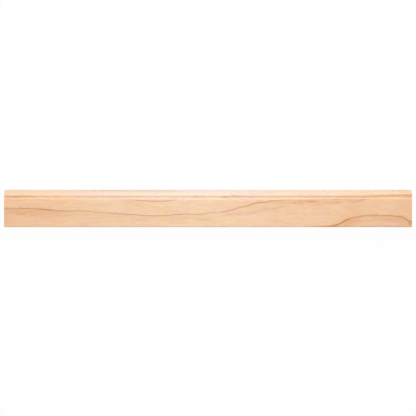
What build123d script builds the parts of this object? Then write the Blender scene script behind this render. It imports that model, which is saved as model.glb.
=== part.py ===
# Bead moulding: one straight length of maple trim, planed to a single section along its whole run.
# A quarter-round bead runs along one long edge. A quirk, the shallow groove beside the bead,
# parts it from the flat face: steeper up to the bead, and a gentle slope up to the face.
# The back, the plain edge and the two sawn ends are flat.
#
# X runs along the stock, Y across the face with the bead on the +Y edge, and Z from the back to
# the face. The origin is the middle of the back, which lies on Z = 0.
import math
import os

from build123d import *

# Driving dimensions, in millimetres and degrees
stock_length = 415.0
face_width = 38.1
stock_thickness = 19.05
bead_radius = 6.35
bead_crown_flat = 0.25
bead_lip_radius = 0.5
quirk_depth = 0.7
quirk_bead_wall_angle = 35.0
quirk_face_wall_angle = 18.0
quirk_floor_radius = 1.2
face_lip_radius = 3.5
face_arris_radius = 0.8
back_arris_radius = 0.5


def rounding_reach(radius, turn_angle):
    """How far from a corner, along each side, a rounding starts where the outline turns by turn_angle."""
    return radius * math.tan(math.radians(turn_angle) / 2)


def wall_run(depth, wall_angle):
    """Distance across the face that a sloping wall takes to go down by depth."""
    return depth / math.tan(math.radians(wall_angle))


def section_corners():
    """The section's corners before rounding, as (Y, Z), each with the radius that rounds it."""
    bead_edge = face_width / 2
    plain_edge = -face_width / 2
    face = stock_thickness
    quirk_floor = stock_thickness - quirk_depth

    crown_run = bead_crown_flat + rounding_reach(bead_lip_radius, quirk_bead_wall_angle)
    bead_lip = bead_edge - bead_radius - crown_run
    quirk_line = bead_lip - wall_run(quirk_depth, quirk_bead_wall_angle)
    face_lip = quirk_line - wall_run(quirk_depth, quirk_face_wall_angle)
    return [
        ((plain_edge, 0), back_arris_radius),
        ((plain_edge, face), face_arris_radius),
        ((face_lip, face), face_lip_radius),
        ((quirk_line, quirk_floor), quirk_floor_radius),
        ((bead_lip, face), bead_lip_radius),
        ((bead_edge, face), bead_radius),
        ((bead_edge, 0), back_arris_radius),
    ]


def moulding_section():
    """The planed section, with every corner rounded to its own radius."""
    corners = section_corners()
    section = make_face(Polyline(*[place for place, _ in corners], close=True))
    for place, radius in corners:
        corner = section.vertices().sort_by_distance(place)[0]
        section = fillet(corner, radius)
    return section


def bead_moulding():
    """The section run out both ways from the middle of the stock."""
    stock = extrude(Plane.YZ * moulding_section(), amount=stock_length / 2, both=True)
    stock.label = "bead_moulding"
    return stock


os.makedirs("parts", exist_ok=True)
export_step(bead_moulding(), "parts/bead_moulding.step")
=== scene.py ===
import math

import bpy
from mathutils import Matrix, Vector


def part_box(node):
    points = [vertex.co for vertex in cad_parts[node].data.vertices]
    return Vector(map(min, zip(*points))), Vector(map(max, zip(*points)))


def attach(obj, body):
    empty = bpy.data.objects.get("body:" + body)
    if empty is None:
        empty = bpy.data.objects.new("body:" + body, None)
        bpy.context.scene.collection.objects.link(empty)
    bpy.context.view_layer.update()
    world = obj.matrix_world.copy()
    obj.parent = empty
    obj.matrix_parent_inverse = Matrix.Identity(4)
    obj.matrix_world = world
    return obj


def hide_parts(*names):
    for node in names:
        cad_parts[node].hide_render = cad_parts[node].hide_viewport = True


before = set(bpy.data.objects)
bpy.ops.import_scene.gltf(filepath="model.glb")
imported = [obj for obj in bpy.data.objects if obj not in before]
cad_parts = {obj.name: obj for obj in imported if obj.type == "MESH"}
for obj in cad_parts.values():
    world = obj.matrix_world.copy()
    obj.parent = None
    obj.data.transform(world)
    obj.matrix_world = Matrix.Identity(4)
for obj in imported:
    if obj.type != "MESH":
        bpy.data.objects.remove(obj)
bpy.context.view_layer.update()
boardLow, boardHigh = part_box("bead_moulding")
boardLength = boardHigh.x - boardLow.x
boardWidth = boardHigh.y - boardLow.y
boardThickness = boardHigh.z - boardLow.z
mm = 0.001
boardSize = [round(size / mm, 2) for size in boardHigh - boardLow]
print("frame loaded: length, width and thickness in mm", boardSize)


# Node helpers, for shader trees and geometry trees alike

class Bench:
    def __init__(self, tree):
        self.tree = tree

    def plug(self, value, socket):
        if isinstance(value, bpy.types.NodeSocket):
            self.tree.links.new(value, socket)
        else:
            socket.default_value = value

    def add(self, kind, inputs=None, **settings):
        node = self.tree.nodes.new(kind)
        count = len(self.tree.nodes)
        node.location = (220 * (count % 14), -320 * (count // 14))
        for name, value in settings.items():
            setattr(node, name, value)
        for name, value in (inputs or {}).items():
            self.plug(value, node.inputs[name])
        return node

    def math(self, operation, *values, clamp=False):
        node = self.add("ShaderNodeMath", operation=operation, use_clamp=clamp)
        for value, socket in zip(values, node.inputs):
            self.plug(value, socket)
        return node.outputs[0]

    def plus(self, *values):
        total = values[0]
        for value in values[1:]:
            total = self.math("ADD", total, value)
        return total

    def minus(self, first, second):
        return self.math("SUBTRACT", first, second)

    def times(self, *values):
        total = values[0]
        for value in values[1:]:
            total = self.math("MULTIPLY", total, value)
        return total

    def over(self, first, second):
        return self.math("DIVIDE", first, second)

    def ramp(self, value, start, end, low=0.0, high=1.0):  # an eased step from low to high
        node = self.add("ShaderNodeMapRange", interpolation_type="SMOOTHSTEP")
        for setting, socket in zip((value, start, end, low, high), node.inputs):
            self.plug(setting, socket)
        return node.outputs[0]

    def noise(self, vector, size, shift=(0.0, 0.0, 0.0), detail=2.0, roughness=0.5):  # size in mm
        scale = [1 / (length * mm) for length in size]
        patch = self.add("ShaderNodeMapping", {"Vector": vector, "Location": shift, "Scale": scale})
        inputs = {"Vector": patch.outputs[0], "Scale": 1.0, "Detail": detail, "Roughness": roughness}
        return self.add("ShaderNodeTexNoise", inputs).outputs["Fac"]

    def split(self, vector):
        return self.add("ShaderNodeSeparateXYZ", {"Vector": vector}).outputs

    def mix(self, factor, first, second, blend="MIX"):  # colours
        node = self.add("ShaderNodeMix", data_type="RGBA", blend_type=blend)
        for value, index in ((factor, 0), (first, 6), (second, 7)):
            self.plug(value, node.inputs[index])
        return node.outputs[2]

    def blend(self, factor, first, second):  # plain values
        node = self.add("ShaderNodeMix", data_type="FLOAT")
        for value, index in ((factor, 0), (first, 2), (second, 3)):
            self.plug(value, node.inputs[index])
        return node.outputs[0]


def startGroup(name, kind, inputs, outputs):
    tree = bpy.data.node_groups.new(name, kind)
    for direction, sockets in (("INPUT", inputs), ("OUTPUT", outputs)):
        for socketName, socketType in sockets:
            tree.interface.new_socket(socketName, in_out=direction, socket_type="NodeSocket" + socketType)
    bench = Bench(tree)
    source = bench.add("NodeGroupInput").outputs
    target = bench.add("NodeGroupOutput").inputs
    return bench, source, target


# Maple: growth rings, fibre and colour

# Each ring line is where a ring comes out on the face, as (along, across) from the middle, in mm.
# Darkness, breadth and the bands are (along, strength): of the lines, and of the latewood beside them.
ringSet = {
    "upper": [(-208, 27), (-170, 25), (-130, 21), (-100, 15), (-84, 11), (-73, 8.4), (-64, 7.8),
              (-54, 7.2), (-46, 7.4), (-38, 8.1), (-30, 10), (-12, 12.5), (14, 12.0), (28, 12.4),
              (50, 18), (110, 27), (208, 31)],
    "middle": [(-208, -0.2), (-182, -0.2), (-174, -0.5), (-166, -1.1), (-158, -1.7), (-150, -2.3),
               (-141, -2.7), (-125, -2.5), (-117, -3.6), (-109, -4.0), (-104, -4.3), (-99, -5.0),
               (-89, -5.3), (-83, -6.0), (-74, -6.3), (-68, -6.9), (-60, -7.5), (-44, -7.2), (-28, -6.0),
               (-19, -5.8), (-8, -6.3), (-3, -5.6), (5, -4.3), (13, -3.7), (21, -2.2), (28, -0.4),
               (33, 1.2), (38, 2.1), (46, 4.6), (53, 6.3), (58, 6.5), (63, 7.5), (76, 8.5), (95, 9.0),
               (140, 9.8), (154, 9.2), (161, 9.3), (175, 11), (208, 15)],
    "lower": [(-208, -27), (-60, -29), (30, -27), (75, -22), (98, -18.8), (114, -18.1), (124, -17.8),
              (129, -17.2), (134, -15.5), (139, -12.5), (143, -10.8), (147, -9.4), (152, -8.6),
              (157, -7.8), (160, -7.1), (165, -7.1), (180, -7.3), (188, -7.5), (192, -8.1), (196, -8.3),
              (200, -9.9), (202, -11.0), (204, -12.7), (208, -13.5)],
    "darkness": [(-208, 0.65), (-200, 0.8), (-188, 1), (-176, 0.95), (-170, 1), (-165, 1.5), (-159, 0.95),
                 (-148, 0.75), (-125, 0.8), (-94, 0.75), (-72, 0.95), (-52, 1), (-38, 0.9), (-23, 1),
                 (-17, 0.7), (-8, 1.05), (0, 0.55), (12, 0.65), (26, 1), (36, 0.65), (44, 0.9), (52, 1),
                 (60, 0.9), (80, 0.75), (105, 0.65), (118, 0.75), (128, 1.35), (134, 1.6), (140, 1.55),
                 (148, 0.8), (156, 0.7), (166, 0.85), (180, 0.95), (188, 1.15), (194, 1.1), (199, 0.95),
                 (203, 1.2), (208, 1.2)],
    "mostDarkness": 1.6,
    "breadth": [(-208, 1), (-175, 1), (-165, 1.2), (-155, 1), (15, 1), (28, 1.2), (55, 1.25), (68, 1),
                (115, 1), (130, 1.5), (146, 1.4), (155, 1), (190, 1.1), (200, 1.25), (208, 1.2)],
    "mostBreadth": 2,
    "middleBand": [(-208, 0.9), (-160, 0.95), (-120, 0.5), (-60, 0.35), (0, 0.2), (45, 0.4), (75, 0.75),
                   (100, 0.9), (120, 0.7), (150, 0.2), (208, 0)],
    "lowerBand": [(-208, 0.5), (100, 0.6), (135, 0.9), (175, 0.9), (208, 0.75)],
    "otherBand": 0.3,
    "bandOnFace": 8.5,
    "bandOnEdge": 2.2,
    "bandCore": 0.5,  # the share of a band that is at full strength
    "reach": 32,  # the lines stay within this far of the middle
    "gap": 4.2,  # depth from one ring to the next
    "bow": 0.00006,
    "wander": 0.25,
    "wanderPatch": (11, 50, 50),
    "drift": 0.05,
    "driftPatch": (125, 20, 20),
    "fadePatch": (14, 60, 60),
    "fadeShift": (4, 4, 4),
    "fade": (0.3, 0.6, 0.8, 1),  # noise from, noise to, and the line's strength at each
}


def curveAlong(bench, share, points, low=0.0, high=1.0):
    node = bench.add("ShaderNodeFloatCurve", {"Value": share})
    curve = node.mapping.curves[0]
    places = []
    for along, value in points:
        places.append((min(max(along * mm / boardLength + 0.5, 0), 1), (value - low) / (high - low)))
    for place in places[1:-1]:
        curve.points.new(*place)
    curve.points[0].location = places[0]
    curve.points[-1].location = places[-1]
    node.mapping.update()
    return bench.math("MULTIPLY_ADD", node.outputs[0], high - low, low)


def inMillimetres(bench, position):  # along, across, up, and the share of the length
    along, across, up = [bench.over(value, mm) for value in bench.split(position)]
    share = bench.math("MULTIPLY_ADD", along, mm / boardLength, 0.5, clamp=True)
    return along, across, up, share


def growthRings():
    bench, source, target = startGroup(
        "growthRings", "ShaderNodeTree",
        [("Position", "Vector"), ("Facing", "Float"), ("Line Width", "Float")],
        [("Line", "Float"), ("Latewood", "Float")])
    position = source["Position"]
    _, across, up, share = inMillimetres(bench, position)
    wobble = bench.minus(bench.noise(position, ringSet["wanderPatch"], detail=3), 0.5)
    across = bench.math("MULTIPLY_ADD", wobble, 2 * ringSet["wander"], across)

    reach = ringSet["reach"]
    upper = curveAlong(bench, share, ringSet["upper"], -reach, reach)
    middle = curveAlong(bench, share, ringSet["middle"], -reach, reach)
    lower = curveAlong(bench, share, ringSet["lower"], -reach, reach)
    isAbove = bench.math("GREATER_THAN", across, middle)
    gapBelow = bench.minus(middle, lower)
    gapAbove = bench.minus(upper, middle)
    below = bench.over(bench.minus(across, lower), gapBelow)
    above = bench.over(bench.minus(across, middle), gapAbove)
    onFace = bench.blend(isAbove, below, bench.plus(above, 1))

    # below the face the rings follow on, bowed across the board
    depth = bench.minus(boardThickness / mm, up)
    bow = bench.times(across, across, ringSet["bow"])
    drift = bench.minus(bench.noise(position, ringSet["driftPatch"], detail=1), 0.5)
    drift = bench.times(drift, ringSet["drift"])
    ring = bench.math("MULTIPLY_ADD", depth, bench.plus(bow, drift, 1 / ringSet["gap"]), onFace)

    # widths are in mm on the surface, where rings lie far apart on the face and close together on the edges
    phase = bench.math("FRACT", ring)
    gap = bench.blend(source["Facing"], ringSet["gap"], bench.blend(isAbove, gapBelow, gapAbove))
    toNext = bench.times(bench.minus(1, phase), gap)
    offLine = bench.math("MINIMUM", bench.times(phase, gap), toNext)
    breadth = curveAlong(bench, share, ringSet["breadth"], 0, ringSet["mostBreadth"])
    line = bench.ramp(offLine, bench.times(source["Line Width"], breadth), 0)
    fade = bench.ramp(bench.noise(position, ringSet["fadePatch"], ringSet["fadeShift"]), *ringSet["fade"])
    darkness = curveAlong(bench, share, ringSet["darkness"], 0, ringSet["mostDarkness"])
    bench.plug(bench.times(line, fade, darkness), target["Line"])

    # latewood darkens the last of each ring, below its line on the face
    band = bench.blend(source["Facing"], ringSet["bandOnEdge"], ringSet["bandOnFace"])
    latewood = bench.ramp(toNext, band, bench.times(band, ringSet["bandCore"]))
    middleBand = curveAlong(bench, share, ringSet["middleBand"])
    lowerBand = curveAlong(bench, share, ringSet["lowerBand"])
    strength = bench.blend(bench.math("LESS_THAN", ring, 1), ringSet["otherBand"], middleBand)
    strength = bench.blend(bench.math("LESS_THAN", ring, 0), strength, lowerBand)
    bench.plug(bench.times(latewood, strength), target["Latewood"])
    return bench.tree


# Noise stretched along the grain: the size of a patch in mm, and the noise from which and to which it shows
fibreSet = {
    "Cloud": {"size": (20, 8, 8), "shift": (0, 0, 0), "detail": 3, "rough": 0.55, "shows": (0.3, 0.7)},
    "Blush": {"size": (17, 8, 8), "shift": (7, 3, 1), "detail": 2, "rough": 0.5, "shows": (0.35, 0.65)},
    "Streak": {"size": (30, 2.6, 2.6), "shift": (3, 1, 7), "detail": 4, "rough": 0.6, "shows": (0.3, 0.7)},
    "Thread": {"size": (8, 1.1, 1.1), "shift": (1, 8, 2), "detail": 3, "rough": 0.6, "shows": (0.3, 0.7)},
    "Fleck": {"size": (5, 1.1, 1.1), "shift": (5, 2, 9), "detail": 1, "rough": 0.5, "shows": (0.62, 0.76)},
}


def woodFibre():
    bench, source, target = startGroup(
        "woodFibre", "ShaderNodeTree", [("Position", "Vector")], [(name, "Float") for name in fibreSet])
    for name, fibre in fibreSet.items():
        raw = bench.noise(source["Position"], fibre["size"], fibre["shift"], fibre["detail"], fibre["rough"])
        bench.plug(bench.ramp(raw, *fibre["shows"]), target[name])
    return bench.tree


def colour(red, green, blue):
    return (red, green, blue, 1.0)


planedLook = {
    "pale": colour(0.895, 0.656, 0.451),
    "warm": colour(0.841, 0.549, 0.346),
    # the bead's paler colour: partly real sapwood, partly a painted sheen on the bead
    "sapwoodAndSheen": colour(0.785, 0.660, 0.588),
    "sapwoodAndSheenEnds": colour(0.811, 0.670, 0.526),
    # tints, which the wood is multiplied by
    "blush": colour(1.000, 0.958, 1.003),
    "straw": colour(1.000, 1.005, 0.915),
    "ember": colour(0.994, 0.908, 0.836),
    "latewood": colour(0.925, 0.830, 0.755),
    "line": colour(0.640, 0.480, 0.340),
    "fleck": colour(0.800, 0.720, 0.640),
    "endCast": colour(0.985, 0.965, 0.880),
    # painted shade on the bead's outer edge
    "edgeShadeTint": colour(0.850, 0.815, 0.745),
    # a painted highlight along the bead's crown
    "crownHighlight": colour(1.060, 1.020, 0.950),
    "paleStreak": colour(1.050, 1.065, 0.985),
    "glow": colour(1.120, 0.965, 0.780),
    # a milky tint; on the lip of the face it paints a sheen
    "milky": colour(1.000, 1.050, 1.200),
    # painted light that lifts the shade in the quirk
    "quirkLight": colour(1.185, 1.215, 1.310),
    # painted shade along the quirk, warm as in a groove
    "quirkShade": colour(1.030, 0.880, 0.680),
    # how far each part of the fibre moves the wood from pale to warm
    "toneWeights": {"Cloud": 0.25, "Streak": 0.38, "Thread": 0.75},
    "lineWidthFace": 1.1,
    "lineWidthEdge": 0.5,
    "lineStrength": 0.85,
    "latewoodStrength": 0.9,
    "latewoodInStreaks": (0.6, 1.2),
    "fleckStrength": 0.5,
    # what is left of these in the sapwood with its painted sheen, or on the bead
    "sapwoodAndSheenOnWarm": 0.7,
    "hueInSapwoodAndSheen": 0.5,
    "latewoodInSapwoodAndSheen": 0.2,
    "linesOnBead": 0.25,
    # where a zone starts and is full, in mm across from the middle, up from the back or below the face
    "sapwoodAndSheenAcross": (12.1, 13.5),
    "sapwoodAndSheenUp": (9, 15, 0.2, 1),
    "edgeAcross": (15.8, 18.4),
    "edgeUp": (12.8, 15.2),
    "crownFrom": (12.7, 13.6),
    "crownTo": (15.8, 14.0),
    "crownUp": (9, 14),
    "lipSheenFrom": (3, 9.3),
    "lipSheenTo": (10.6, 9.4),
    "beadAcross": (8.4, 9.8),
    "beadUp": (9, 13),
    "topDepth": (2.4, 1.6),
    # the wood is warmer towards the ends, and the quirk goes from painted light to painted shade there:
    # (along, strength)
    "warmth": [(-208, 1), (-160, 0.85), (-100, 0.2), (-40, 0), (10, 0), (45, 0.2), (80, 0.4),
               (120, 0.55), (135, 0.7), (148, 0.9), (165, 0.9), (208, 1)],
    "endCastSpan": [(-208, 0.8), (-203, 0.6), (-200, 0), (186, 0), (196, 0.7), (208, 0.8)],
    "quirkShadeSpan": [(-208, 0.5), (-200, 0.7), (-193, 1), (-183, 1), (-176, 0.2), (-150, 0.05), (-100, 0), (0, 0),
               (60, 0.1), (110, 0.3), (150, 0.38), (165, 0.78), (208, 1)],
    "quirkLightSpan": [(-208, 0.5), (-203, 0.4), (-198, 0), (-181, 0), (-173, 0.85), (-150, 0.95), (-100, 1),
                  (0, 1), (60, 0.9), (110, 0.7), (150, 0.5), (165, 0.4), (180, 0.8), (208, 1)],
    # painted shade darkens the bead along its outer edge, and a painted sheen gives the lip of the face a
    # milky cast near the middle
    "edgeShade": [(-208, 0.35), (-150, 0.4), (-125, 0.8), (-95, 1), (-45, 1), (-32, 0.5), (-10, 0.2),
                  (100, 0.2), (115, 0), (165, 0), (180, 0.2), (208, 0.2)],
    "lipSheen": [(-208, 0.2), (-160, 0.35), (-117, 0.8), (-58, 0.85), (0, 1), (30, 0.9), (60, 0.5),
                  (90, 0.3), (208, 0.3)],
    # the quirk's painted shade follows (along, across), and its painted light lies on the floor of the quirk
    "quirkShadeLine": [(-208, 12.4), (-150, 12.35), (-60, 12.3), (60, 12.3), (150, 12.45), (175, 12.9),
                  (208, 13.15)],
    "quirkShadeBetween": (11, 14),
    "quirkShadeWidth": (1.2, 0.7),
    "quirkFloor": 12.2,
    "quirkLightWidth": (0.9, 0.3),
    # a faint false ring under the middle line: (along, across), and its strength along the board
    "falseRing": [(-208, -12), (-12, -12), (0, -10.6), (4, -9.8), (25, -5.9), (38, -5.4), (46, -4.5),
                  (53, -2.4), (57, -0.9), (65, -0.6), (73, 0.9), (90, 3), (208, 3)],
    "falseRingSpan": [(-208, 0), (-20, 0), (0, 0.5), (8, 0.25), (22, 0.5), (27, 0.75), (31, 0.7), (35, 0.9),
                      (39, 0.5), (41.5, 0.8), (43.5, 0.5), (46, 0.85), (50, 0.6), (60, 0.8), (70, 0.8),
                      (78, 0.5), (86, 0), (208, 0)],
    "falseRingWidth": 2.0,
    "falseRingStrength": 0.40,
    # patches from left to right: tint, along, across, half length, half width, strength
    "patches": [
        ("paleStreak", -150, -14.6, 34, 2.8, 1),
        ("milky", -145, -17.8, 26, 1.6, 0.5),
        # painted light in the quirk
        ("quirkLight", -142, 11.6, 30, 1.3, 0.35),
        ("straw", -80, 15, 55, 2.6, 0.8),
        ("ember", 27, 13.6, 9, 1.3, 1),
        ("ember", 38, 5, 24, 4.5, 0.6),
        ("ember", 100, 14, 18, 1.5, 0.6),
        ("glow", 104, 6, 20, 3, 0.5),
        ("glow", 120, -18.4, 20, 2.6, 1),
        ("ember", 137, -13.5, 14, 6, 0.6),
        ("endCast", 148, -5, 14, 19, 1),
        # painted light in the quirk
        ("quirkLight", 192, 10.9, 30, 1.1, 1),
    ],
    "patchFades": (1.0, 0.2),  # as shares of the way out from its middle
    # small dark marks from left to right: along, across, half length, half width, strength
    "marks": [
        (-198, -4.0, 2.5, 1.2, 0.26), (-191.2, 1.4, 0.9, 2.0, 0.28), (-190.5, -6.2, 7.0, 1.2, 0.40),
        (-183, -8.0, 9.0, 2.2, 0.16), (-178.5, -7.0, 8.0, 1.3, 0.34), (-164.5, -1.2, 5.0, 1.3, 0.60),
        (-160, -5.4, 4.0, 0.8, 0.18), (-145, 6.4, 2.0, 1.0, 0.20), (-116, -6.0, 3.0, 0.8, 0.20),
        (18.5, 11.6, 8.0, 1.3, 0.55), (25, 12.1, 7.0, 0.8, 0.35), (27, 13.0, 8.0, 0.9, 0.36),
        (44, -4.6, 4.0, 0.9, 0.34), (53, 7.6, 8.0, 1.6, 0.20), (65.7, -0.1, 0.9, 1.7, 0.30),
        (100, 6.8, 18.0, 2.4, 0.25), (105, 7.2, 11.0, 2.0, 0.50), (131, 6.2, 9.0, 1.4, 0.36),
        (144, -17.6, 9.0, 1.7, 0.28), (146, 6.8, 8.0, 1.6, 0.28), (152.5, 7.6, 6.5, 1.6, 0.38),
        # the long marks at 176 along the bottom edge and at 205 along the quirk are painted shade
        (155, -7.9, 1.3, 1.9, 0.60), (157, 8.9, 8.5, 1.1, 0.60), (176, -17.8, 44.0, 1.3, 0.18),
        (205, 13.5, 60.0, 1.0, 0.72), (206, -15.0, 4.0, 3.0, 0.50),
    ],
    "roughness": (0.38, 0.50),
    "lineRelief": 0.6,
    "bumpStrength": 0.15,
    "bumpDepth": 0.1,
}

sawnLook = {
    "pale": colour(0.720, 0.480, 0.300),
    "dark": colour(0.560, 0.345, 0.195),
    "line": colour(0.330, 0.170, 0.085),
    "pore": colour(0.360, 0.200, 0.110),
    "lineWidth": 0.45,
    "lineStrength": 0.65,
    "cloudStrength": 0.3,
    "raySize": (60, 0.35, 5),
    "rayShows": (0.35, 0.65),
    "rayStrength": 0.35,
    "poreSize": (60, 0.3, 0.3),
    "poreShift": (2, 6, 4),
    "poreShows": (0.62, 0.72),
    "poreStrength": 0.4,
    "poreRelief": -0.6,
    "sawCentre": (-70, 45),  # across and up, in mm, of the arcs that the saw left
    "sawPitch": 1.3,
    "sawJitter": 1.4,
    "sawJitterSize": (60, 2.2, 2.2),
    "sawJitterShift": (8, 1, 5),
    "sawShows": (0.2, 1, 0, 0.16),
    "sawRelief": 0.5,
    "roughness": 0.75,
    "bumpStrength": 0.35,
    "bumpDepth": 0.08,
}


def startMaterial(name):
    material = bpy.data.materials.new(name)
    material.use_nodes = True
    bench = Bench(material.node_tree)
    shader = material.node_tree.nodes["Principled BSDF"]
    position = bench.add("ShaderNodeTexCoord").outputs["Object"]
    return material, bench, shader, position


def raiseGrain(bench, shader, look, relief):
    bump = bench.add("ShaderNodeBump", {
        "Strength": look["bumpStrength"], "Distance": look["bumpDepth"] * mm, "Height": relief})
    bench.plug(bump.outputs[0], shader.inputs["Normal"])


def planedMaple(rings, fibre):
    material, bench, shader, position = startMaterial("planedMaple")
    look = planedLook
    along, across, up, share = inMillimetres(bench, position)
    onTop = bench.ramp(bench.minus(boardThickness / mm, up), *look["topDepth"])
    facing = bench.split(bench.add("ShaderNodeNewGeometry").outputs["True Normal"])["Z"]
    facing = bench.times(facing, facing)
    ring = bench.add("ShaderNodeGroup", {
        "Position": position,
        "Facing": facing,
        "Line Width": bench.blend(facing, look["lineWidthEdge"], look["lineWidthFace"]),
    }, node_tree=rings).outputs
    grain = bench.add("ShaderNodeGroup", {"Position": position}, node_tree=fibre).outputs

    def strengthOf(name):
        return curveAlong(bench, share, look[name])

    def zone(place, *names):
        return bench.times(*[bench.ramp(place, *look[name]) for name in names])

    def offFrom(place):
        return bench.math("ABSOLUTE", bench.minus(across, place))

    def tinted(strength, name):
        return bench.mix(strength, wood, look[name], "MULTIPLY")

    def patch(placeAlong, placeAcross, halfLength, halfWidth):
        spot = bench.add("ShaderNodeCombineXYZ", {
            "X": bench.over(bench.minus(along, placeAlong), halfLength),
            "Y": bench.over(bench.minus(across, placeAcross), halfWidth)}).outputs[0]
        away = bench.add("ShaderNodeVectorMath", operation="LENGTH")
        bench.plug(spot, away.inputs[0])
        return bench.times(bench.ramp(away.outputs["Value"], *look["patchFades"]), onTop)

    # the wood itself, with a paler bead that is partly real sapwood and partly a painted sheen
    tone = 0.5
    for name, weight in look["toneWeights"].items():
        tone = bench.math("MULTIPLY_ADD", bench.minus(grain[name], 0.5), weight, tone)
    wood = bench.mix(tone, look["pale"], look["warm"])
    warmth = strengthOf("warmth")
    sapwoodAndSheen = bench.times(zone(across, "sapwoodAndSheenAcross"), zone(up, "sapwoodAndSheenUp"))
    paler = bench.mix(warmth, look["sapwoodAndSheen"], look["sapwoodAndSheenEnds"])
    wood = bench.mix(bench.times(sapwoodAndSheen, bench.blend(tone, 1, look["sapwoodAndSheenOnWarm"])), wood, paler)
    hue = bench.mix(grain["Blush"], look["straw"], look["blush"])
    wood = bench.mix(bench.blend(sapwoodAndSheen, 1, look["hueInSapwoodAndSheen"]), wood, hue, "MULTIPLY")
    wood = tinted(warmth, "ember")
    wood = tinted(strengthOf("endCastSpan"), "endCast")

    # painted light and shade along the bead and the lip: shade on the bead's outer edge, a highlight on its
    # crown, a sheen on the lip
    edge = bench.times(zone(across, "edgeAcross"), zone(up, "edgeUp"))
    wood = tinted(bench.times(edge, strengthOf("edgeShade")), "edgeShadeTint")
    # a painted highlight along the bead's crown
    wood = tinted(bench.times(zone(across, "crownFrom", "crownTo"), zone(up, "crownUp")), "crownHighlight")
    # a painted sheen on the lip of the face, strongest near the middle
    wood = tinted(bench.times(zone(across, "lipSheenFrom", "lipSheenTo"), strengthOf("lipSheen")), "milky")

    # latewood, flecks and patches
    latewood = bench.times(ring["Latewood"], bench.blend(grain["Streak"], *look["latewoodInStreaks"]),
                           bench.blend(sapwoodAndSheen, 1, look["latewoodInSapwoodAndSheen"]), look["latewoodStrength"])
    wood = tinted(latewood, "latewood")
    wood = tinted(bench.times(grain["Fleck"], look["fleckStrength"]), "fleck")
    for tint, *place, strength in look["patches"]:
        wood = tinted(bench.times(patch(*place), strength), tint)

    # lines and marks
    onBead = bench.times(zone(across, "beadAcross"), zone(up, "beadUp"))
    mark = bench.times(ring["Line"], bench.blend(onBead, 1, look["linesOnBead"]), look["lineStrength"])
    reach = ringSet["reach"]
    falseRing = offFrom(curveAlong(bench, share, look["falseRing"], -reach, reach))
    falseMark = bench.times(bench.ramp(falseRing, look["falseRingWidth"], 0), strengthOf("falseRingSpan"),
                            onTop, look["falseRingStrength"])
    mark = bench.math("MAXIMUM", mark, falseMark)
    # besides grain, two of the marks paint shade: along the bottom edge and along the quirk at the right end
    for *place, strength in look["marks"]:
        mark = bench.math("MAXIMUM", mark, bench.times(patch(*place), strength))
    wood = tinted(mark, "line")

    # the quirk: painted shade along its line, painted light on its floor
    offQuirkShade = offFrom(curveAlong(bench, share, look["quirkShadeLine"], *look["quirkShadeBetween"]))
    wood = tinted(bench.times(zone(offQuirkShade, "quirkShadeWidth"), strengthOf("quirkShadeSpan"), onTop), "quirkShade")
    floor = offFrom(look["quirkFloor"])
    wood = tinted(bench.times(zone(floor, "quirkLightWidth"), strengthOf("quirkLightSpan"), onTop), "quirkLight")
    bench.plug(wood, shader.inputs["Base Color"])

    bench.plug(bench.blend(grain["Thread"], *look["roughness"]), shader.inputs["Roughness"])
    relief = bench.math("MULTIPLY_ADD", ring["Line"], look["lineRelief"], grain["Thread"])
    raiseGrain(bench, shader, look, relief)
    return material


def sawnMaple(rings, fibre):
    material, bench, shader, position = startMaterial("sawnMaple")
    look = sawnLook
    _, across, up, _ = inMillimetres(bench, position)
    ring = bench.add("ShaderNodeGroup", {
        "Position": position, "Facing": 0.0, "Line Width": look["lineWidth"]}, node_tree=rings).outputs
    grain = bench.add("ShaderNodeGroup", {"Position": position}, node_tree=fibre).outputs
    rays = bench.ramp(bench.noise(position, look["raySize"]), *look["rayShows"])
    pores = bench.noise(position, look["poreSize"], look["poreShift"], detail=1)
    pores = bench.ramp(pores, *look["poreShows"])
    wood = bench.mix(ring["Latewood"], look["pale"], look["dark"])
    wood = bench.mix(bench.times(rays, look["rayStrength"]), wood, look["dark"])
    wood = bench.mix(bench.times(grain["Cloud"], look["cloudStrength"]), wood, look["dark"])
    wood = bench.mix(bench.times(pores, look["poreStrength"]), wood, look["pore"])
    wood = bench.mix(bench.times(ring["Line"], look["lineStrength"]), wood, look["line"])

    # arcs left by the saw
    sawAcross, sawUp = look["sawCentre"]
    fromSaw = bench.math("SQRT", bench.plus(bench.math("POWER", bench.minus(across, sawAcross), 2),
                                            bench.math("POWER", bench.minus(up, sawUp), 2)))
    jitter = bench.noise(position, look["sawJitterSize"], look["sawJitterShift"], detail=1)
    fromSaw = bench.math("MULTIPLY_ADD", jitter, look["sawJitter"], fromSaw)
    arcs = bench.math("SINE", bench.times(fromSaw, 2 * math.pi / look["sawPitch"]))
    wood = bench.mix(bench.ramp(arcs, *look["sawShows"]), wood, look["dark"])
    bench.plug(wood, shader.inputs["Base Color"])
    shader.inputs["Roughness"].default_value = look["roughness"]
    relief = bench.plus(bench.times(arcs, look["sawRelief"]), bench.times(pores, look["poreRelief"]), rays)
    raiseGrain(bench, shader, look, relief)
    return material


rings = growthRings()
fibre = woodFibre()
planed = planedMaple(rings, fibre)
sawn = sawnMaple(rings, fibre)
print("maple mixed: planed faces and sawn ends")


# The moulding: its section run along the length, with eased ends

moulding = {
    "name": "beadMoulding",
    "beadRadius": 6.35 * mm,
    "crownFlat": 0.25 * mm,
    "beadLipRadius": 0.5 * mm,
    "quirkDepth": 0.7 * mm,
    "beadWallAngle": 35,
    "faceWallAngle": 18,
    "quirkFloorRadius": 1.2 * mm,
    "faceLipRadius": 3.5 * mm,
    "faceArrisRadius": 0.8 * mm,
    "backArrisRadius": 0.5 * mm,
    "endEase": 0.3 * mm,
    "runSteps": 140,
    "easeSteps": 3,
    "weldGap": 0.002 * mm,
}

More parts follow.
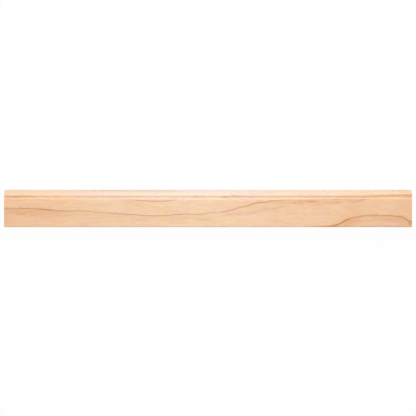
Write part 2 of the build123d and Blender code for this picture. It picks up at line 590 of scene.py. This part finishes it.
# How the skin and the two ends share the map that colours are baked through
bakeMap = {
    "name": "OFBake",
    "margin": 0.004,
    "skinFrom": 0.19,
    "endTop": 0.18,
    "leftEnd": 0.18,
    "rightEnd": 0.54,
}


def wallRun(angle):
    return moulding["quirkDepth"] / math.tan(math.radians(angle))


def mouldingSizes():
    lipReach = moulding["beadLipRadius"] * math.tan(math.radians(moulding["beadWallAngle"]) / 2)
    return {
        "Length": boardLength,
        "Width": boardWidth,
        "Thickness": boardThickness,
        "Bead Radius": moulding["beadRadius"],
        "Crown Run": moulding["crownFlat"] + lipReach,
        "Bead Wall Run": wallRun(moulding["beadWallAngle"]),
        "Face Wall Run": wallRun(moulding["faceWallAngle"]),
        "Quirk Depth": moulding["quirkDepth"],
        "Bead Lip Radius": moulding["beadLipRadius"],
        "Quirk Floor Radius": moulding["quirkFloorRadius"],
        "Face Lip Radius": moulding["faceLipRadius"],
        "Face Arris Radius": moulding["faceArrisRadius"],
        "Back Arris Radius": moulding["backArrisRadius"],
        "End Ease": moulding["endEase"],
    }


def drawSection(bench, source):
    # corners from the middle of the back round by the plain edge: across, up, rounding, steps in the rounding
    halfWidth = bench.times(source["Width"], 0.5)
    plainEdge = bench.times(source["Width"], -0.5)
    beadLip = bench.minus(bench.minus(halfWidth, source["Bead Radius"]), source["Crown Run"])
    quirkLine = bench.minus(beadLip, source["Bead Wall Run"])
    faceLip = bench.minus(quirkLine, source["Face Wall Run"])
    quirkFloor = bench.minus(source["Thickness"], source["Quirk Depth"])
    face = source["Thickness"]
    corners = [
        (0.0, 0.0, 0.0, 1),
        (plainEdge, 0.0, source["Back Arris Radius"], 5),
        (plainEdge, face, source["Face Arris Radius"], 7),
        (faceLip, face, source["Face Lip Radius"], 6),
        (quirkLine, quirkFloor, source["Quirk Floor Radius"], 6),
        (beadLip, face, source["Bead Lip Radius"], 7),
        (halfWidth, face, source["Bead Radius"], 26),
        (halfWidth, 0.0, source["Back Arris Radius"], 5),
        (0.0, 0.0, 0.0, 1),
    ]
    index = bench.add("GeometryNodeInputIndex").outputs[0]

    def byCorner(dataType, values):
        node = bench.add("GeometryNodeIndexSwitch", data_type=dataType)
        while len(node.index_switch_items) < len(values):
            node.index_switch_items.new()
        bench.plug(index, node.inputs["Index"])
        for number, value in enumerate(values):
            bench.plug(value, node.inputs[str(number)])
        return node.outputs[0]

    spots = []
    for across, up, _, _ in corners:
        spots.append(bench.add("ShaderNodeCombineXYZ", {"X": across, "Y": up}).outputs[0])
    line = bench.add("GeometryNodeMeshLine", {"Count": len(corners)}).outputs[0]
    line = bench.add("GeometryNodeSetPosition", {"Geometry": line, "Position": byCorner("VECTOR", spots)})
    section = bench.add("GeometryNodeMeshToCurve", {"Mesh": line.outputs[0]}).outputs[0]
    return bench.add("GeometryNodeFilletCurve", {
        "Curve": section,
        "Count": byCorner("INT", [steps for _, _, _, steps in corners]),
        "Radius": byCorner("FLOAT", [radius for _, _, radius, _ in corners]),
    }, mode="POLY").outputs[0]


def wrapSkin(bench, source, section):
    # one column for each point of the section, one row for each station along the run
    easeSteps = moulding["easeSteps"]
    rows = moulding["runSteps"] + 2 * easeSteps
    points = bench.add("GeometryNodeAttributeDomainSize", {"Geometry": section}, component="CURVE")
    points = points.outputs["Point Count"]
    skin = bench.add("GeometryNodeMeshGrid", {"Vertices X": rows + 1, "Vertices Y": points}).outputs["Mesh"]
    index = bench.add("GeometryNodeInputIndex").outputs[0]
    column = bench.math("MODULO", index, points)
    row = bench.math("FLOOR", bench.over(index, points))

    def onSection(dataType, value):
        node = bench.add("GeometryNodeSampleIndex", data_type=dataType, domain="POINT")
        for setting, name in ((section, "Geometry"), (value, "Value"), (column, "Index")):
            bench.plug(setting, node.inputs[name])
        return node.outputs[0]

    place = bench.add("GeometryNodeInputPosition").outputs[0]
    heading = bench.add("GeometryNodeInputTangent").outputs[0]
    across, up, _ = bench.split(onSection("FLOAT_VECTOR", place))
    headAcross, headUp, _ = bench.split(onSection("FLOAT_VECTOR", heading))
    girth = onSection("FLOAT", bench.add("GeometryNodeSplineParameter").outputs["Factor"])

    # the last rows at each end turn in round a small rounding
    ease = source["End Ease"]
    fromEnd = bench.math("MINIMUM", row, bench.minus(rows, row))
    turn = bench.times(bench.math("DIVIDE", fromEnd, easeSteps, clamp=True), math.pi / 2)
    inset = bench.times(ease, bench.minus(1, bench.math("SINE", turn)))
    easeRun = bench.times(ease, bench.minus(1, bench.math("COSINE", turn)))
    pitch = bench.over(bench.math("MULTIPLY_ADD", ease, -2, source["Length"]), moulding["runSteps"])
    plainRun = bench.math("MAXIMUM", bench.minus(fromEnd, easeSteps), 0)
    run = bench.math("MULTIPLY_ADD", plainRun, pitch, easeRun)
    side = bench.math("SIGN", bench.minus(row, rows / 2))
    along = bench.times(side, bench.minus(bench.times(source["Length"], 0.5), run))
    spot = bench.add("ShaderNodeCombineXYZ", {
        "X": along,
        "Y": bench.math("MULTIPLY_ADD", headUp, inset, across),
        "Z": bench.minus(up, bench.times(headAcross, inset)),
    }).outputs[0]

    margin, skinFrom = bakeMap["margin"], bakeMap["skinFrom"]
    mapSpot = bench.add("ShaderNodeCombineXYZ", {
        "X": bench.math("MULTIPLY_ADD", bench.over(along, source["Length"]), 1 - 2 * margin, 0.5),
        "Y": bench.math("MULTIPLY_ADD", girth, 1 - margin - skinFrom, skinFrom),
    }).outputs[0]
    return layOut(bench, skin, spot, mapSpot)


def layOut(bench, mesh, spot, mapSpot):  # both are worked out before the points move
    store = bench.add("GeometryNodeStoreNamedAttribute", data_type="FLOAT_VECTOR", domain="POINT")
    for value, name in ((mesh, "Geometry"), ("mapSpot", "Name"), (mapSpot, "Value")):
        bench.plug(value, store.inputs[name])
    moved = bench.add("GeometryNodeSetPosition", {"Geometry": store.outputs[0], "Position": spot})
    return moved.outputs[0]


def closeEnds(bench, source, section):
    across, up, _ = bench.split(bench.add("GeometryNodeInputPosition").outputs[0])
    headAcross, headUp, _ = bench.split(bench.add("GeometryNodeInputTangent").outputs[0])
    ease = source["End Ease"]
    rimSpot = bench.add("ShaderNodeCombineXYZ", {
        "X": bench.math("MULTIPLY_ADD", headUp, ease, across),
        "Y": bench.minus(up, bench.times(headAcross, ease)),
    }).outputs[0]
    rim = bench.add("GeometryNodeSetPosition", {"Geometry": section, "Position": rimSpot}).outputs[0]
    flat = bench.add("GeometryNodeFillCurve", {"Curve": rim}, mode="NGONS").outputs[0]

    margin = bakeMap["margin"]
    scale = bench.over(bakeMap["endTop"] - margin, source["Thickness"])
    ends = []
    for side, middle in ((-1, bakeMap["leftEnd"]), (1, bakeMap["rightEnd"])):
        spot = bench.add("ShaderNodeCombineXYZ", {
            "X": bench.times(source["Length"], side / 2), "Y": across, "Z": up}).outputs[0]
        mapSpot = bench.add("ShaderNodeCombineXYZ", {
            "X": bench.math("MULTIPLY_ADD", across, scale, middle),
            "Y": bench.math("MULTIPLY_ADD", up, scale, margin)}).outputs[0]
        end = layOut(bench, flat, spot, mapSpot)
        if side < 0:
            end = bench.add("GeometryNodeFlipFaces", {"Mesh": end}).outputs[0]
        ends.append(end)
    return ends


def mouldingRun(sizes):
    bench, source, target = startGroup(
        "mouldingRun", "GeometryNodeTree",
        [("Geometry", "Geometry")] + [(name, "Float") for name in sizes]
        + [("Planed", "Material"), ("Sawn", "Material")],
        [("Geometry", "Geometry")])
    bench.tree.is_modifier = True
    section = drawSection(bench, source)
    skin = wrapSkin(bench, source, section)
    joined = bench.add("GeometryNodeJoinGeometry")
    bench.plug(skin, joined.inputs[0])
    for end in closeEnds(bench, source, section):
        bench.plug(end, joined.inputs[0])
    result = joined.outputs[0]

    mapSpot = bench.add("GeometryNodeInputNamedAttribute", {"Name": "mapSpot"}, data_type="FLOAT_VECTOR")
    store = bench.add("GeometryNodeStoreNamedAttribute", data_type="FLOAT2", domain="CORNER")
    for value, name in ((result, "Geometry"), (bakeMap["name"], "Name"), (mapSpot.outputs[0], "Value")):
        bench.plug(value, store.inputs[name])
    result = bench.add("GeometryNodeRemoveAttribute", {"Geometry": store.outputs[0], "Name": "mapSpot"})
    result = bench.add("GeometryNodeMergeByDistance", {
        "Geometry": result.outputs[0], "Distance": moulding["weldGap"]}).outputs[0]
    result = bench.add("GeometryNodeSetShadeSmooth", {"Geometry": result}).outputs[0]

    result = bench.add("GeometryNodeRealizeInstances", {"Geometry": result}).outputs[0]
    facing = bench.split(bench.add("GeometryNodeInputNormal").outputs[0])[0]
    onEnd = bench.math("GREATER_THAN", bench.math("ABSOLUTE", facing), 0.99)
    for onFaces, material in ((True, "Planed"), (onEnd, "Sawn")):
        result = bench.add("GeometryNodeSetMaterial", {
            "Geometry": result, "Selection": onFaces, "Material": source[material]}).outputs[0]
    bench.plug(result, target["Geometry"])
    return bench.tree


def layMoulding():
    sizes = mouldingSizes()
    tree = mouldingRun(sizes)
    mesh = bpy.data.meshes.new(moulding["name"])
    piece = bpy.data.objects.new(moulding["name"], mesh)
    bpy.context.scene.collection.objects.link(piece)
    run = piece.modifiers.new("run", "NODES")
    run.node_group = tree
    sockets = {item.name: item.identifier for item in tree.interface.items_tree if item.in_out == "INPUT"}
    for name, value in [*sizes.items(), ("Planed", planed), ("Sawn", sawn)]:
        run[sockets[name]] = value
    flats = piece.modifiers.new("flats", "WEIGHTED_NORMAL")  # keeps the flats flat beside the roundings
    flats.weight = 100
    depsgraph = bpy.context.evaluated_depsgraph_get()
    made = bpy.data.meshes.new_from_object(
        piece.evaluated_get(depsgraph), preserve_all_data_layers=True, depsgraph=depsgraph)
    piece.modifiers.clear()
    if made.materials[0] is None:
        made.materials.pop(index=0)
    piece.data = made
    bpy.data.meshes.remove(mesh)
    made.name = moulding["name"]
    return piece


piece = layMoulding()
print("moulding laid:", len(piece.data.vertices), "points,", len(piece.data.polygons), "faces")
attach(piece, "root")
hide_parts("bead_moulding")


# Floor, lamps and camera

stage = {
    "floorSize": 12.0,
    "floorTone": 0.93,
    "whiteShare": 0.97,  # how far the camera sees the floor as plain white, and not as shaded
    "worldLight": 0.44,
}


def cameraShare(bench):
    path = bench.add("ShaderNodeLightPath").outputs
    seen = bench.plus(path["Is Camera Ray"], path["Is Glossy Ray"])
    return bench.math("ADD", seen, path["Is Transmission Ray"], clamp=True)


def layFloor():
    half = stage["floorSize"] / 2
    mesh = bpy.data.meshes.new("floor")
    corners = [(-half, -half, 0), (half, -half, 0), (half, half, 0), (-half, half, 0)]
    mesh.from_pydata(corners, [], [(0, 1, 2, 3)])
    floor = bpy.data.objects.new("floor", mesh)
    bpy.context.scene.collection.objects.link(floor)
    material = bpy.data.materials.new("paleFloor")
    material.use_nodes = True
    material.node_tree.nodes.clear()
    bench = Bench(material.node_tree)
    tone = stage["floorTone"]
    paper = bench.add("ShaderNodeBsdfDiffuse", {"Color": colour(tone, tone, tone)})
    white = bench.add("ShaderNodeEmission", {"Color": colour(1, 1, 1), "Strength": 1.0})
    both = bench.add("ShaderNodeMixShader", {"Fac": bench.times(cameraShare(bench), stage["whiteShare"])})
    bench.plug(paper.outputs[0], both.inputs[1])
    bench.plug(white.outputs[0], both.inputs[2])
    bench.add("ShaderNodeOutputMaterial", {"Surface": both.outputs[0]})
    mesh.materials.append(material)


def hangSky():
    world = bpy.data.worlds.new("studio")
    bpy.context.scene.world = world
    world.use_nodes = True
    bench = Bench(world.node_tree)
    background = world.node_tree.nodes["Background"]
    background.inputs["Color"].default_value = colour(1, 1, 1)
    bench.plug(bench.blend(cameraShare(bench), stage["worldLight"], 1.0), background.inputs["Strength"])


lamps = {
    "gleam": {"place": (0.0, 0.32, 0.66), "aim": (0, 0, 0.019), "size": (0.22, 0.55), "power": 1.8},
    "side": {"place": (0.0, 0.50, 0.56), "aim": (0, 0, 0.019), "size": (1.60, 0.35), "power": 3.5},
}


def hangLamp(name, lamp):
    light = bpy.data.lights.new(name, "AREA")
    light.shape = "RECTANGLE"
    light.size, light.size_y = lamp["size"]
    light.energy = lamp["power"]
    holder = bpy.data.objects.new(name, light)
    holder.location = lamp["place"]
    away = holder.location - Vector(lamp["aim"])
    holder.rotation_euler = away.to_track_quat("Z", "Y").to_euler()
    holder.visible_camera = False
    bpy.context.scene.collection.objects.link(holder)


layFloor()
hangSky()
for name, lamp in lamps.items():
    hangLamp(name, lamp)
print("floor laid and lamps hung")

shot = {
    "lens": 85.0,
    "sensor": 36.0,
    "frame": 416,  # the picture's side, in pixels
    "stripLength": 408.1,  # how many of them the face takes up
    "stripCentre": (208.05, 208.4),
}


def placeCamera():
    pixel = boardLength / shot["stripLength"]
    lens = bpy.data.cameras.new("camera")
    lens.lens = shot["lens"]
    lens.sensor_width = shot["sensor"]
    lens.clip_start = 0.01
    camera = bpy.data.objects.new("camera", lens)
    half = shot["frame"] / 2
    stripX, stripY = shot["stripCentre"]
    distance = shot["lens"] / shot["sensor"] * shot["frame"] * pixel
    camera.location = ((half - stripX) * pixel, (stripY - half) * pixel, boardThickness + distance)
    bpy.context.scene.collection.objects.link(camera)
    bpy.context.scene.camera = camera


placeCamera()
bpy.context.scene.view_settings.view_transform = "Standard"
print("camera placed")
